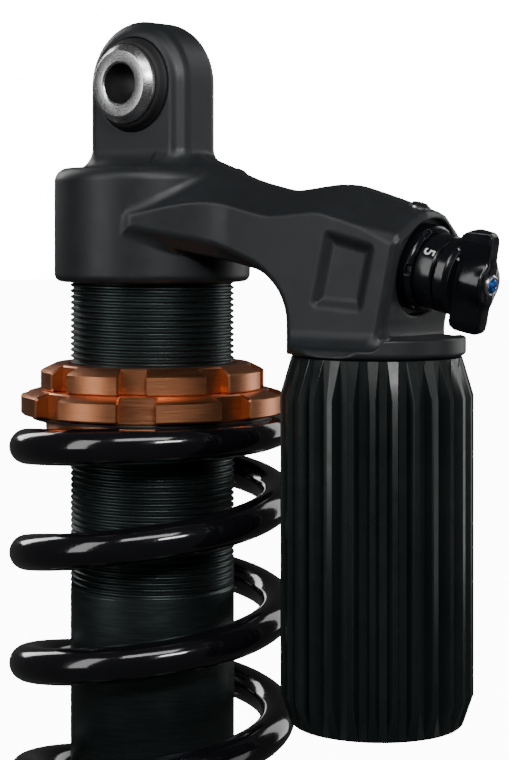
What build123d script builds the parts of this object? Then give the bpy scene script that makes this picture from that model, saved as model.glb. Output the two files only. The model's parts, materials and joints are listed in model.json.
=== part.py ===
from build123d import *
import os
from math import cos, radians, sin

# A coil-over rear shock with a piggyback reservoir, in millimetres.
# Origin: centre of the upper eye's bore. +Z runs up the shock's axis, +X points from that axis to the
# reservoir, and Y is the axis of both eyes.

# --- overall ----------------------------------------------------------------------------------
EYE_TO_EYE = 280.0
STROKE = 55.0
RUN = 0.05                      # radial clearance of a running fit

# --- eyes -------------------------------------------------------------------------------------
BOLT_R = 5.0
SPACER_R = 10.0                 # the spacer's outer flange
BARREL_R = 8.0                  # the part of it that runs in the bush
EYE_WIDTH = 26.2                # across the outer faces of a pair of spacers
SPACER_CHAMFER = 1.6
BORE_CHAMFER = 0.5
BUSH_R = 10.5
LIP_R = 11.9                    # lip seal, let into each side of the eye
LIP_DEPTH = 1.5
LIP_PROUD = 0.5
EYE_HALF_THICK = 8.0
UPPER_EYE_R = 16.2
EYE_CHAMFER = 2.6
LOWER_EYE_R = 15.0

# --- head casting -----------------------------------------------------------------------------
CAN_R = 25.0
CAN_TOP = -21.0
CAN_BOTTOM = -49.9
CAN_CEILING = -27.0
ARM_HALF = 14.0                 # half width of the arm and valve block
CREST_HALF = 4.5                # half width of their flat top
RES_X = 69.5                    # from the shock's axis to the reservoir's
FLANGE_R = 20.9
FLANGE_BOTTOM = -65.9
FLANGE_LEDGE = -63.9            # top of the flange beside the block's flat sides
FLANGE_END = -61.4              # top of the flange under the adjuster
SOCKET_R = 8.4                  # the reservoir's threaded neck
SOCKET_TOP = -57.5
POCKET_DEPTH = 1.3
POCKET_DRAFT = 59
WALL_X = 52.5                   # the block's wall that faces the tube
UNDERSIDE_R = 13.0              # where that wall turns into the arm's underside
STEP_X = RES_X + 12.5           # the flange's raised end under the adjuster starts here

# --- damper tube ------------------------------------------------------------------------------
TUBE_R = 21.0
TUBE_BORE = 18.0
TUBE_TOP = -34.0
TUBE_BOTTOM = -178.0
GLAND_TOP = -158.0
GLAND_BOTTOM = -180.5

# --- preload collar and lock ring -------------------------------------------------------------
LOBES = 8
LOCK_R, LOCK_FLOOR, LOCK_SLOT = 28.5, 25.2, 6.7
LOCK_TOP, LOCK_RIM, LOCK_BOTTOM = -70.6, -72.1, -77.1
LOCK_PHASE = -59.5
COLLAR_R, COLLAR_FLOOR, COLLAR_SLOT = 33.5, 29.7, 9.1
COLLAR_TOP, COLLAR_RIM, COLLAR_LOBE_BOTTOM, COLLAR_SEAT = -77.15, -78.2, -83.3, -83.9
COLLAR_PHASE = -56.0
PILOT_R = 27.2
PILOT_BOTTOM = -87.5
WASHER_R = 30.6
WASHER_THICK = 0.6

# --- spring -----------------------------------------------------------------------------------
WIRE_R = 4.5
SPRING_R = 32.0
SPRING_TOP = COLLAR_SEAT - WASHER_THICK
SPRING_BOTTOM = -250.5
SPRING_TURNS = 6.5

# --- shaft and piston -------------------------------------------------------------------------
SHAFT_R = 8.0
STUD_R = 5.0
SHOULDER = -152.0               # where the shaft steps down to the piston stud
SHAFT_TOP = -128.0
SHAFT_END = -261.0
ROD_R = 2.4
ROD_BORE = ROD_R + RUN
PISTON_BOTTOM, PISTON_TOP = -149.3, -137.3

REBOUND_SHIMS = (9, 11, 13, 14)
COMPRESSION_SHIMS = (14, 14, 12, 10, 8)
SHIM = 0.3
PISTON_PORTS = 6
RING_WIRE = 0.9                 # O-ring section radius
GLAND_RING_Z = -168.0
ROD_BOTTOM, ROD_TOP = -261.9, -129.0

# --- lower end --------------------------------------------------------------------------------
LOWER_Z = -EYE_TO_EYE
BOSS_R, BOSS_TOP = 16.5, -252.0
SHOULDER_R, SHOULDER_TOP, SHOULDER_BOTTOM = 19.5, -255.5, -259.0
PERCH_R = 37.0
BUMP_WASHER_THICK = 1.5
BUMP_GAP = 1.0                  # left between bump stop and gland at full stroke
REBOUND_Z = -264.2
REBOUND_KNOB_R = 4.0
REBOUND_STEM_R = 2.2
NECK_HALF = 12.0
BUMP_BOTTOM = BOSS_TOP + BUMP_WASHER_THICK
BUMP_TOP = GLAND_BOTTOM - STROKE - BUMP_GAP

# --- reservoir --------------------------------------------------------------------------------
RES_R = 22.7
RES_END_R = 20.2
RES_BORE = 18.0
RES_TOP, RES_BOTTOM = FLANGE_BOTTOM, -152.0
RES_CHAMFER = 9.2
RES_ROOF = 4.0
NECK_BORE = 5.0
FLUTES = 28
FLUTE_DEPTH = 2.6
FLUTE_MOUTH, FLUTE_FLOOR = 3.2, 2.0
CAP_TOP, CAP_BOTTOM = -139.0, -147.0
FLOAT_TOP, FLOAT_BOTTOM = -84.0, -96.0
FLOAT_R = RES_BORE - RUN
FLOAT_RING_Z = -88.0
NECK_RING_Z = -61.0
CAP_RING_Z = -142.0
CLIP_Z, CLIP_THICK = -148.4, 1.4
VALVE_STEM_R = 2.6
VALVE_STEM_BOTTOM = -149.6
VALVE_CAP_BOTTOM = -151.4
PIN_R = 0.7

# --- compression adjuster ------------------------------------------------------------------------
# Its axis leans down, and each height is measured out from the block's end face.
ADJUSTER_LEAN = 12.7
ADJUSTER_POINT = (82.5, 0.0, -45.1)
VALVE_R = 9.5
VALVE_DEPTH = 26.0
NUT_R, NUT_TOP = 10.2, 3.0
DIAL_R, DIAL_TOP = 8.9, 8.0
KNOB_BASE, SKIRT_TOP, KNOB_TOP = 8.2, 12.0, 18.2
WING_R = 11.9
WING_HALF = 4.0                 # half width of the two wings where they leave the skirt
WING_DRAFT = 16.0
WING_TURN = 4.0
HUB_R = 4.7
SPINDLE_R = 2.5
CENTRE_R = 1.6
VALVE_BOTTOM = -24.0
NUT_NOTCHES = 6
DETENT_AT = 5.0                 # distance of the detent ball from the adjuster's axis
DETENT_FLOOR = 2.0
BALL_R = 1.1


# --- helpers ----------------------------------------------------------------------------------
def tube(outer, inner, low, high, x=0.0):
    """A cylinder along Z from low to high, bored through if inner is not zero."""
    body = Cylinder(outer, high - low)
    if inner > 0:
        body -= Cylinder(inner, high - low)
    return Pos(x, 0, (low + high) / 2) * body


def cross_tube(outer, inner, low, high, z=0.0):
    """The same along Y."""
    body = Cylinder(outer, high - low)
    if inner > 0:
        body -= Cylinder(inner, high - low)
    return Pos(0, (low + high) / 2, z) * Rot(-90, 0, 0) * body


def turned(points, x=0.0):
    """A solid of revolution about Z from an outline of (radius, height) points."""
    outline = make_face(Plane.XZ * Polyline(*points, close=True))
    return Pos(x, 0, 0) * revolve(outline, Axis.Z)


def o_ring(radius, wire, z, x=0.0):
    return Pos(x, 0, z) * Torus(radius, wire)


def prism(points, half):
    """An outline of (X, Z) points made 2 x half thick in Y."""
    outline = make_face(Plane.XZ * Polyline(*points, close=True))
    return extrude(outline, half, both=True)


ADJUSTER_DIR = (cos(radians(ADJUSTER_LEAN)), 0.0, -sin(radians(ADJUSTER_LEAN)))
ADJUSTER = Plane(origin=ADJUSTER_POINT, x_dir=(0, 1, 0), z_dir=ADJUSTER_DIR)


def on_adjuster(shape):
    """Places a shape that is drawn about Z onto the adjuster's axis."""
    return ADJUSTER.location * shape


# --- head casting -----------------------------------------------------------------------------
def facet(shape, a, b, c):
    """Cuts off what stands above the plane through a, b and c, on both sides of Y = 0."""
    for side in (1, -1):
        p, q, r = (Vector(x, side * y, z) for x, y, z in (a, b, c))
        normal = (q - p).cross(r - p).normalized()
        if normal.Z < 0:
            normal = normal * -1
        shape = split(shape, bisect_by=Plane(origin=p, z_dir=normal), keep=Keep.BOTTOM)
    return shape


def eye_tower():
    foot = Pos(0, (CAN_TOP - 3) / 2) * Rectangle(2 * UPPER_EYE_R, 3 - CAN_TOP)
    tower = extrude(Plane.XZ * (foot + Circle(UPPER_EYE_R)), EYE_HALF_THICK, both=True)
    faces = tower.faces().filter_by(Axis.Y)
    rims = [e for f in faces for e in f.edges() if e.center().Z > CAN_TOP - 2]
    return chamfer(rims, EYE_CHAMFER)


def arm():
    underside = (WALL_X, -48.1)
    outline = make_face(Polyline((8, -22), (22, -20.4), (33, -24.6), (46.5, -27.7), (58, -29.5),
                                 (58, FLANGE_LEDGE), (WALL_X, FLANGE_LEDGE), underside, (8, -39.2), close=True))
    inner_corner = outline.vertices().sort_by_distance(underside)[0]
    body = extrude(Plane.XZ * fillet(inner_corner, UNDERSIDE_R), ARM_HALF, both=True)
    return facet(body, (33, CREST_HALF, -24.6), (46.5, CREST_HALF, -27.7), (38.2, ARM_HALF, -31.4))


def valve_block():
    body = prism([(44, -27.8), (46.5, -27.7), (62.5, -25.3), (86.3, -32.5), (79.2, FLANGE_LEDGE),
                  (WALL_X, FLANGE_LEDGE), (WALL_X, -56), (44, -44)], ARM_HALF)
    body = facet(body, (46.5, CREST_HALF, -27.7), (62.5, CREST_HALF, -25.3), (62, ARM_HALF, -32.3))
    return facet(body, (62.5, CREST_HALF, -25.3), (86, CREST_HALF, -32.4), (84.5, ARM_HALF, -38.9))


def side_pockets():
    outline = make_face(Polyline((64.6, -36.8), (78.2, -40.1), (74.8, -55.2), (60.4, -54.6), close=True))
    near = extrude(Plane.XZ.offset(ARM_HALF) * outline, -POCKET_DEPTH, taper=POCKET_DRAFT)
    return near + mirror(near, Plane.XZ)


def oil_ways():
    """The chamber above the tube, the way through the arm, the valve's bore and the reservoir's socket."""
    chamber = tube(TUBE_BORE - 1, 0, TUBE_TOP, CAN_CEILING)
    way = Line((14, 0, -30), (64, 0, -41))
    passage = sweep(Plane(origin=way @ 0, z_dir=way % 0) * Circle(2.6), path=way)
    valve_bore = on_adjuster(tube(VALVE_R, 0, -VALVE_DEPTH, 5))
    spot_face = on_adjuster(tube(NUT_R + 1.3, 0, -0.8, 5))
    throat = tube(5, 0, SOCKET_TOP, -44, RES_X)
    socket = tube(SOCKET_R, 0, FLANGE_BOTTOM, SOCKET_TOP, RES_X)
    return chamber + passage + valve_bore + spot_face + throat + socket


def eye_bore(z):
    near_seat = cross_tube(LIP_R, 0, -EYE_WIDTH, LIP_DEPTH - EYE_HALF_THICK, z)
    return cross_tube(BUSH_R, 0, -EYE_WIDTH, EYE_WIDTH, z) + near_seat + mirror(near_seat, Plane.XZ)


def head_casting():
    can = tube(CAN_R, 0, CAN_BOTTOM, CAN_TOP)
    can = fillet(can.edges().group_by(Axis.Z)[-1], 3.5)
    can = fillet(can.edges().group_by(Axis.Z)[0], 2.0)
    flange = tube(FLANGE_R, 0, FLANGE_BOTTOM, FLANGE_LEDGE, RES_X)
    flange = chamfer(flange.edges().group_by(Axis.Z)[0], 1.2)
    step = tube(FLANGE_R, 0, FLANGE_LEDGE, FLANGE_END, RES_X)
    step &= Pos(STEP_X + FLANGE_R, 0, FLANGE_LEDGE) * Box(2 * FLANGE_R, 2 * FLANGE_R, 10)
    body = can + arm() + valve_block() + flange + step + eye_tower()
    body -= oil_ways() + side_pockets() + eye_bore(0) + tube(TUBE_R, 0, CAN_BOTTOM, TUBE_TOP)
    return body - bleed_seat()


# --- bleed screw, let into the sloping top of the block ---------------------------------------
WASHER_SEAT_R, WASHER_SEAT_DEPTH = 2.7, 0.3
BLEED_HEAD_R, BLEED_HEAD = 2.0, 0.7
BLEED_R, BLEED_END = 1.5, -3.6
WASHER_PROUD = 0.1
TOP_SLOPE = radians(16.8)
BLEED = Plane(origin=(81.6, 0, -31.05), x_dir=(0, 1, 0), z_dir=(sin(TOP_SLOPE), 0, cos(TOP_SLOPE)))


def bleed_seat():
    hole = tube(BLEED_R, 0, BLEED_END - 0.2, 1)
    return BLEED.location * (tube(WASHER_SEAT_R, 0, -WASHER_SEAT_DEPTH, 4) + hole)


def bleed_screw():
    head = tube(BLEED_HEAD_R, 0, WASHER_PROUD, BLEED_HEAD)
    head = chamfer(head.edges().group_by(Axis.Z)[-1], 0.3)
    socket = Pos(0, 0, BLEED_HEAD) * extrude(RegularPolygon(0.9, 6), 0.5, both=True)
    return BLEED.location * (head + tube(BLEED_R, 0, BLEED_END, WASHER_PROUD) - socket)


def bleed_washer():
    return BLEED.location * tube(WASHER_SEAT_R - 0.1, BLEED_R, -WASHER_SEAT_DEPTH, WASHER_PROUD)


# --- eyes -------------------------------------------------------------------------------------
def eye_bush(z):
    half = EYE_HALF_THICK - LIP_DEPTH
    return cross_tube(BUSH_R, BARREL_R + RUN, -half, half, z)


def lip_seals(z):
    inner = EYE_HALF_THICK - LIP_DEPTH
    outer = EYE_HALF_THICK + LIP_PROUD
    near = cross_tube(LIP_R, SPACER_R + RUN, -outer, -inner, z)
    near = chamfer(near.edges().group_by(Axis.Y)[0].sort_by(SortBy.RADIUS)[-1], 0.5)
    return Compound(children=[near, mirror(near, Plane.XZ)])


def spacer(side, z):
    flange = cross_tube(SPACER_R, 0, EYE_HALF_THICK - LIP_DEPTH + RUN, EYE_WIDTH / 2, z)
    flange = chamfer(flange.edges().group_by(Axis.Y)[-1], SPACER_CHAMFER)
    body = flange + cross_tube(BARREL_R, 0, 0, EYE_HALF_THICK, z)
    body -= cross_tube(BOLT_R, 0, -1, EYE_WIDTH, z)
    body = chamfer(body.edges().group_by(Axis.Y)[-1].sort_by(SortBy.RADIUS)[0], BORE_CHAMFER)
    return body if side > 0 else mirror(body, Plane.XZ)


# --- damper tube and gland --------------------------------------------------------------------
def damper_tube():
    body = tube(TUBE_R, TUBE_BORE, TUBE_BOTTOM, TUBE_TOP)
    return chamfer(body.edges().group_by(Axis.Z)[0].sort_by(SortBy.RADIUS)[-1], 0.8)


def groove(radius, wire, z, x=0.0):
    """What an O-ring's groove takes out of a shaft or plug of this radius."""
    return tube(radius + 1, radius - 2 * wire, z - wire, z + wire, x)


def seal_head():
    seat = GLAND_BOTTOM + 8
    body = turned([(SHAFT_R + 2, GLAND_TOP), (TUBE_BORE, GLAND_TOP), (TUBE_BORE, TUBE_BOTTOM),
                   (TUBE_R - 0.8, TUBE_BOTTOM), (TUBE_R - 1.6, GLAND_BOTTOM), (SHAFT_R + 3.5, GLAND_BOTTOM),
                   (SHAFT_R + 3.5, seat), (SHAFT_R + 2, seat)])
    return body - groove(TUBE_BORE, RING_WIRE, GLAND_RING_Z)


def shaft_bush():
    return tube(SHAFT_R + 2, SHAFT_R + RUN, GLAND_BOTTOM + 8, GLAND_TOP)


def shaft_seal():
    return tube(SHAFT_R + 3.5, SHAFT_R + RUN, GLAND_BOTTOM + 3.5, GLAND_BOTTOM + 8)


def shaft_wiper():
    return turned([(SHAFT_R + RUN, GLAND_BOTTOM + 3.5), (SHAFT_R + 3.5, GLAND_BOTTOM + 3.5),
                   (SHAFT_R + 3.5, GLAND_BOTTOM), (SHAFT_R + 1.5, GLAND_BOTTOM - 0.7),
                   (SHAFT_R + RUN, GLAND_BOTTOM - 0.7)])


# --- shaft assembly ---------------------------------------------------------------------------
def damper_shaft():
    body = tube(SHAFT_R, 0, SHAFT_END, SHOULDER) + tube(STUD_R, 0, SHOULDER, SHAFT_TOP)
    return body - tube(ROD_BORE, 0, SHAFT_END, SHAFT_TOP)


def rebound_rod():
    tip = tube(ROD_R, 0, ROD_BOTTOM, ROD_TOP)
    return chamfer(tip.edges().group_by(Axis.Z)[-1], 1.6)


def main_piston():
    body = tube(TUBE_BORE - 0.5, STUD_R, PISTON_BOTTOM, PISTON_TOP)
    body -= tube(TUBE_BORE, TUBE_BORE - 1.2, PISTON_BOTTOM + 2, PISTON_TOP - 2)
    for i in range(PISTON_PORTS):
        spot = Rot(0, 0, 360 / PISTON_PORTS * i) * Pos(11, 0, (PISTON_BOTTOM + PISTON_TOP) / 2)
        body -= spot * Cylinder(1.6, PISTON_TOP - PISTON_BOTTOM)
    return body


def piston_band():
    return tube(TUBE_BORE - RUN, TUBE_BORE - 1.2, PISTON_BOTTOM + 2, PISTON_TOP - 2)


def shim_stack(low, radii):
    """Thin steel discs on the piston stud, listed upwards from low."""
    discs = [tube(r, STUD_R, low + SHIM * i, low + SHIM * (i + 1)) for i, r in enumerate(radii)]
    return Compound(children=discs)


def piston_nut():
    bottom = PISTON_TOP + SHIM * len(COMPRESSION_SHIMS)
    nut = Pos(0, 0, bottom) * extrude(RegularPolygon(8, 6), 6)
    return nut - tube(STUD_R, 0, bottom, bottom + 6)


def top_out_bumper():
    return tube(11.5, SHAFT_R, GLAND_TOP, SHOULDER)


def shim_washer():
    return tube(10.5, STUD_R, SHOULDER, PISTON_BOTTOM - SHIM * len(REBOUND_SHIMS))


def bump_washer():
    return tube(15.5, SHAFT_R, BOSS_TOP, BUMP_BOTTOM)


def bump_stop():
    height = BUMP_TOP - BUMP_BOTTOM
    body = turned([(SHAFT_R, BUMP_BOTTOM), (15, BUMP_BOTTOM), (15, BUMP_BOTTOM + 0.45 * height),
                   (13.2, BUMP_BOTTOM + 0.6 * height), (13.2, BUMP_BOTTOM + 0.7 * height),
                   (12.4, BUMP_TOP), (SHAFT_R, BUMP_TOP)])
    return body


def lower_eyelet():
    foot = Pos(0, (LOWER_Z + SHOULDER_BOTTOM) / 2) * Rectangle(2 * NECK_HALF, SHOULDER_BOTTOM - LOWER_Z)
    plate = extrude(Plane.XZ * (foot + Pos(0, LOWER_Z) * Circle(LOWER_EYE_R)), EYE_HALF_THICK, both=True)
    faces = plate.faces().filter_by(Axis.Y)
    plate = fillet([e for f in faces for e in f.edges() if e.center().Z < SHOULDER_BOTTOM - 1], 1.5)
    shoulder = tube(SHOULDER_R, 0, SHOULDER_BOTTOM, SHOULDER_TOP)
    body = plate + shoulder + tube(BOSS_R, 0, SHOULDER_TOP, BOSS_TOP)
    body -= tube(SHAFT_R, 0, SHAFT_END, BOSS_TOP) + tube(ROD_BORE, 0, REBOUND_Z, SHAFT_END)
    body -= cross_tube(REBOUND_STEM_R + RUN, 0, -EYE_HALF_THICK, 1.5, REBOUND_Z)
    return body - eye_bore(LOWER_Z)


def rebound_knob():
    head = cross_tube(REBOUND_KNOB_R, 0, -EYE_HALF_THICK - 5, -EYE_HALF_THICK - 0.2, REBOUND_Z)
    head = chamfer(head.edges().group_by(Axis.Y)[0], 0.5)
    slot = Pos(0, -EYE_HALF_THICK - 5, REBOUND_Z) * Box(6, 1.6, 1)
    return head + cross_tube(REBOUND_STEM_R, 0, -EYE_HALF_THICK - 1, 1.4, REBOUND_Z) - slot


def lower_spring_perch():
    seat = SPRING_BOTTOM
    body = turned([(BOSS_R + 0.1, SHOULDER_TOP), (PERCH_R - 1.5, SHOULDER_TOP),
                   (PERCH_R, SHOULDER_TOP + 1.5), (PERCH_R, seat - 0.8), (PERCH_R - 0.8, seat),
                   (PILOT_R, seat), (PILOT_R, seat + 5),
                   (PILOT_R - 1, seat + 6), (PILOT_R - 4, seat + 6), (BOSS_R + 0.1, seat + 1)])
    slot = Pos(0, PERCH_R / 2, SHOULDER_TOP) * Box(2 * SHAFT_R + 1, PERCH_R + 1, 30)
    return body - slot


# --- spring and its adjusters -----------------------------------------------------------------
def coil(wire, radius, low, high, turns):
    """A right-hand helical spring whose wire just reaches low and high."""
    height = high - low - 2 * wire
    path = Pos(0, 0, low + wire) * Helix(height / turns, height, radius)
    return sweep(Plane(origin=path @ 0, z_dir=path % 0) * Circle(wire), path=path, is_frenet=True)


def castellated(outline, outer, floor, slot, phase, low):
    """A turned ring whose rim above low is cut into lobes by slots down to the floor radius."""
    ring = turned(outline)
    step = 360 / LOBES
    depth = outer - floor + 1
    for i in range(LOBES):
        gap = Pos(floor + depth / 2, 0, low + 10) * Box(depth, slot, 20)
        ring -= Rot(0, 0, phase + step * (i + 0.5)) * gap
    return ring


def lock_ring():
    bore = TUBE_R + RUN
    outline = [(bore, LOCK_BOTTOM), (LOCK_R - 0.4, LOCK_BOTTOM), (LOCK_R, LOCK_BOTTOM + 0.4),
               (LOCK_R, LOCK_RIM - 0.4), (LOCK_R - 0.5, LOCK_RIM), (LOCK_FLOOR - 0.2, LOCK_TOP),
               (bore + 0.6, LOCK_TOP), (bore, LOCK_TOP - 0.6)]
    return castellated(outline, LOCK_R, LOCK_FLOOR, LOCK_SLOT, LOCK_PHASE, LOCK_BOTTOM - 1)


def preload_collar():
    bore = TUBE_R + RUN
    outline = [(bore, PILOT_BOTTOM), (PILOT_R - 0.5, PILOT_BOTTOM), (PILOT_R, PILOT_BOTTOM + 0.5),
               (PILOT_R, COLLAR_SEAT), (COLLAR_FLOOR, COLLAR_SEAT), (COLLAR_FLOOR, COLLAR_LOBE_BOTTOM),
               (COLLAR_R - 0.4, COLLAR_LOBE_BOTTOM), (COLLAR_R, COLLAR_LOBE_BOTTOM + 0.4),
               (COLLAR_R, COLLAR_RIM - 0.4), (COLLAR_R - 0.5, COLLAR_RIM), (COLLAR_FLOOR, COLLAR_TOP),
               (bore + 0.6, COLLAR_TOP), (bore, COLLAR_TOP - 0.6)]
    slot_end = COLLAR_LOBE_BOTTOM - 0.3
    return castellated(outline, COLLAR_R, COLLAR_FLOOR, COLLAR_SLOT, COLLAR_PHASE, slot_end)


def thrust_washer():
    return tube(WASHER_R, PILOT_R + RUN, SPRING_TOP, COLLAR_SEAT)


# --- reservoir --------------------------------------------------------------------------------
def reservoir_can():
    drop = RES_R - RES_END_R
    shell = turned([(RES_BORE, RES_BOTTOM + 0.6), (RES_BORE, RES_TOP), (RES_END_R, RES_TOP),
                    (RES_R, RES_TOP - RES_CHAMFER), (RES_R, RES_BOTTOM + RES_CHAMFER - 2),
                    (RES_R - drop, RES_BOTTOM), (RES_BORE + 0.6, RES_BOTTOM)], RES_X)
    floor, mouth, half_mouth = RES_R - FLUTE_DEPTH, RES_R + 1, FLUTE_MOUTH / 2 + 0.2
    flute_outline = make_face(Polyline((floor, -FLUTE_FLOOR / 2), (mouth, -half_mouth),
                                       (mouth, half_mouth), (floor, FLUTE_FLOOR / 2), close=True))
    flute = Pos(0, 0, RES_BOTTOM - 1) * extrude(flute_outline, RES_TOP - RES_BOTTOM + 2)
    for i in range(FLUTES):
        shell -= Pos(RES_X, 0, 0) * Rot(0, 0, 360 / FLUTES * i) * flute
    roof = RES_TOP - RES_ROOF
    neck = turned([(NECK_BORE, roof), (RES_BORE, roof), (RES_BORE, RES_TOP), (SOCKET_R, RES_TOP),
                   (SOCKET_R, SOCKET_TOP), (NECK_BORE, SOCKET_TOP)], RES_X)
    body = shell + neck - groove(SOCKET_R, RING_WIRE, NECK_RING_Z, RES_X)
    return body - tube(RES_BORE + 0.8, RES_BORE - 1, CLIP_Z, CLIP_Z + CLIP_THICK, RES_X)


def reservoir_end_cap():
    body = tube(RES_BORE, 0, CAP_BOTTOM, CAP_TOP, RES_X) - tube(7, 0, CAP_BOTTOM, CAP_BOTTOM + 4.5, RES_X)
    body -= tube(VALVE_STEM_R, 0, CAP_BOTTOM, CAP_TOP, RES_X)
    return body - groove(RES_BORE, RING_WIRE, CAP_RING_Z, RES_X)


def cap_circlip():
    clip = tube(RES_BORE + 0.8, RES_BORE - 2, CLIP_Z, CLIP_Z + CLIP_THICK, RES_X)
    return clip - Pos(RES_X, -RES_BORE, CLIP_Z) * Box(9, 12, 6)


def air_valve():
    body = tube(VALVE_STEM_R, 0, VALVE_STEM_BOTTOM, CAP_TOP + 1, RES_X)
    body += tube(5, 0, CAP_BOTTOM + 2.5, CAP_BOTTOM + 4.5, RES_X)
    return body - tube(PIN_R + RUN, 0, VALVE_STEM_BOTTOM, CAP_TOP + 1, RES_X)


def valve_pin():
    return tube(PIN_R, 0, VALVE_STEM_BOTTOM + 0.3, CAP_TOP - 1, RES_X)


def valve_cap():
    body = tube(4.2, 0, VALVE_CAP_BOTTOM, CAP_BOTTOM + 2, RES_X)
    body = chamfer(body.edges().group_by(Axis.Z)[0], 0.6)
    return body - tube(VALVE_STEM_R, 0, VALVE_STEM_BOTTOM - 0.4, CAP_BOTTOM + 2, RES_X)


def floating_piston():
    body = tube(FLOAT_R, 0, FLOAT_BOTTOM, FLOAT_TOP, RES_X)
    body -= tube(FLOAT_R - 4, 0, FLOAT_BOTTOM, FLOAT_TOP - 5, RES_X)
    return body - groove(FLOAT_R, RING_WIRE, FLOAT_RING_Z, RES_X)


# --- compression adjuster ---------------------------------------------------------------------
def valve_body():
    body = tube(VALVE_R, 0, VALVE_BOTTOM, -0.8) + tube(NUT_R, 0, -0.8, NUT_TOP)
    for i in range(NUT_NOTCHES):
        body -= Rot(0, 0, 360 / NUT_NOTCHES * i) * Pos(NUT_R, 0, NUT_TOP) * Box(2.4, 2.4, 5)
    body += tube(DIAL_R - 2, 0, NUT_TOP, DIAL_TOP - 0.5)
    body -= tube(SPINDLE_R + RUN, 0, VALVE_BOTTOM, DIAL_TOP)
    body -= Pos(DETENT_AT, 0, 0) * tube(BALL_R + RUN, 0, DETENT_FLOOR, DIAL_TOP)
    return on_adjuster(body)


def dial_ring():
    body = turned([(DIAL_R - 2, NUT_TOP), (DIAL_R - 0.3, NUT_TOP), (DIAL_R, NUT_TOP + 0.3),
                   (DIAL_R, DIAL_TOP - 0.4), (DIAL_R - 0.4, DIAL_TOP), (DIAL_R - 2, DIAL_TOP)])
    return on_adjuster(body)


def wing_knob():
    height = KNOB_TOP - SKIRT_TOP
    wings = Pos(0, 0, SKIRT_TOP) * Rectangle(2 * WING_HALF, 3 * WING_R)
    blades = extrude(wings, height, taper=WING_DRAFT)
    blades &= tube(WING_R, 0, SKIRT_TOP, KNOB_TOP)
    skirt = tube(DIAL_R, 0, KNOB_BASE, SKIRT_TOP)
    skirt = chamfer(skirt.edges().group_by(Axis.Z)[-1], 0.6)
    body = Rot(0, 0, WING_TURN) * blades + skirt + tube(HUB_R, 0, KNOB_BASE, KNOB_TOP)
    return on_adjuster(body - tube(SPINDLE_R, 0, KNOB_BASE, KNOB_TOP))


def knob_retainer():
    return on_adjuster(tube(SPINDLE_R, CENTRE_R + RUN, KNOB_TOP - 2, KNOB_TOP + 1.0))


def valve_spindle():
    return on_adjuster(tube(SPINDLE_R, CENTRE_R + RUN, VALVE_BOTTOM, KNOB_TOP - 2))


def low_speed_screw():
    top = KNOB_TOP + 1.4
    body = tube(CENTRE_R, 0, VALVE_BOTTOM - 1, top)
    body = chamfer(body.edges().group_by(Axis.Z)[-1], 0.4)
    return on_adjuster(body - Pos(0, 0, top) * Box(5, 0.8, 1.4))


def detent_ball():
    return on_adjuster(Pos(DETENT_AT, 0, KNOB_BASE - BALL_R - RUN) * Sphere(BALL_R))


def detent_spring():
    top = KNOB_BASE - 2 * BALL_R - RUN
    return on_adjuster(Pos(DETENT_AT, 0, 0) * coil(0.2, BALL_R - 0.25, DETENT_FLOOR, top, 5))


def build():
    far, near = 1, -1
    return {
        "head_casting": head_casting(),
        "bleed_screw": bleed_screw(),
        "bleed_washer": bleed_washer(),
        "upper_eye_bush": eye_bush(0),
        "upper_lip_seals": lip_seals(0),
        "upper_spacer_left": spacer(near, 0),
        "upper_spacer_right": spacer(far, 0),
        "damper_tube": damper_tube(),
        "seal_head": seal_head(),
        "gland_o_ring": o_ring(TUBE_BORE - RING_WIRE, RING_WIRE, GLAND_RING_Z),
        "shaft_bush": shaft_bush(),
        "shaft_seal": shaft_seal(),
        "shaft_wiper": shaft_wiper(),
        "damper_shaft": damper_shaft(),
        "rebound_rod": rebound_rod(),
        "top_out_bumper": top_out_bumper(),
        "shim_washer": shim_washer(),
        "rebound_shims": shim_stack(PISTON_BOTTOM - SHIM * len(REBOUND_SHIMS), REBOUND_SHIMS),
        "main_piston": main_piston(),
        "piston_band": piston_band(),
        "compression_shims": shim_stack(PISTON_TOP, COMPRESSION_SHIMS),
        "piston_nut": piston_nut(),
        "bump_washer": bump_washer(),
        "bump_stop": bump_stop(),
        "lower_eyelet": lower_eyelet(),
        "lower_eye_bush": eye_bush(LOWER_Z),
        "lower_lip_seals": lip_seals(LOWER_Z),
        "lower_spacer_left": spacer(near, LOWER_Z),
        "lower_spacer_right": spacer(far, LOWER_Z),
        "rebound_knob": rebound_knob(),
        "lower_spring_perch": lower_spring_perch(),
        "coil_spring": coil(WIRE_R, SPRING_R, SPRING_BOTTOM, SPRING_TOP, SPRING_TURNS),
        "lock_ring": lock_ring(),
        "preload_collar": preload_collar(),
        "thrust_washer": thrust_washer(),
        "reservoir_can": reservoir_can(),
        "neck_o_ring": o_ring(SOCKET_R - RING_WIRE, RING_WIRE, NECK_RING_Z, RES_X),
        "reservoir_end_cap": reservoir_end_cap(),
        "cap_o_ring": o_ring(RES_BORE - RING_WIRE, RING_WIRE, CAP_RING_Z, RES_X),
        "cap_circlip": cap_circlip(),
        "air_valve": air_valve(),
        "valve_pin": valve_pin(),
        "valve_cap": valve_cap(),
        "floating_piston": floating_piston(),
        "floating_o_ring": o_ring(FLOAT_R - RING_WIRE, RING_WIRE, FLOAT_RING_Z, RES_X),
        "valve_body": valve_body(),
        "dial_ring": dial_ring(),
        "wing_knob": wing_knob(),
        "knob_retainer": knob_retainer(),
        "valve_spindle": valve_spindle(),
        "low_speed_screw": low_speed_screw(),
        "detent_ball": detent_ball(),
        "detent_spring": detent_spring(),
    }


if __name__ == "__main__":
    os.makedirs("parts", exist_ok=True)
    for name, shape in build().items():
        export_step(shape, f"parts/{name}.step")
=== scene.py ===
import json
from math import acos, asin, cos, degrees, hypot, pi, radians, sin, sqrt, tan

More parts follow.
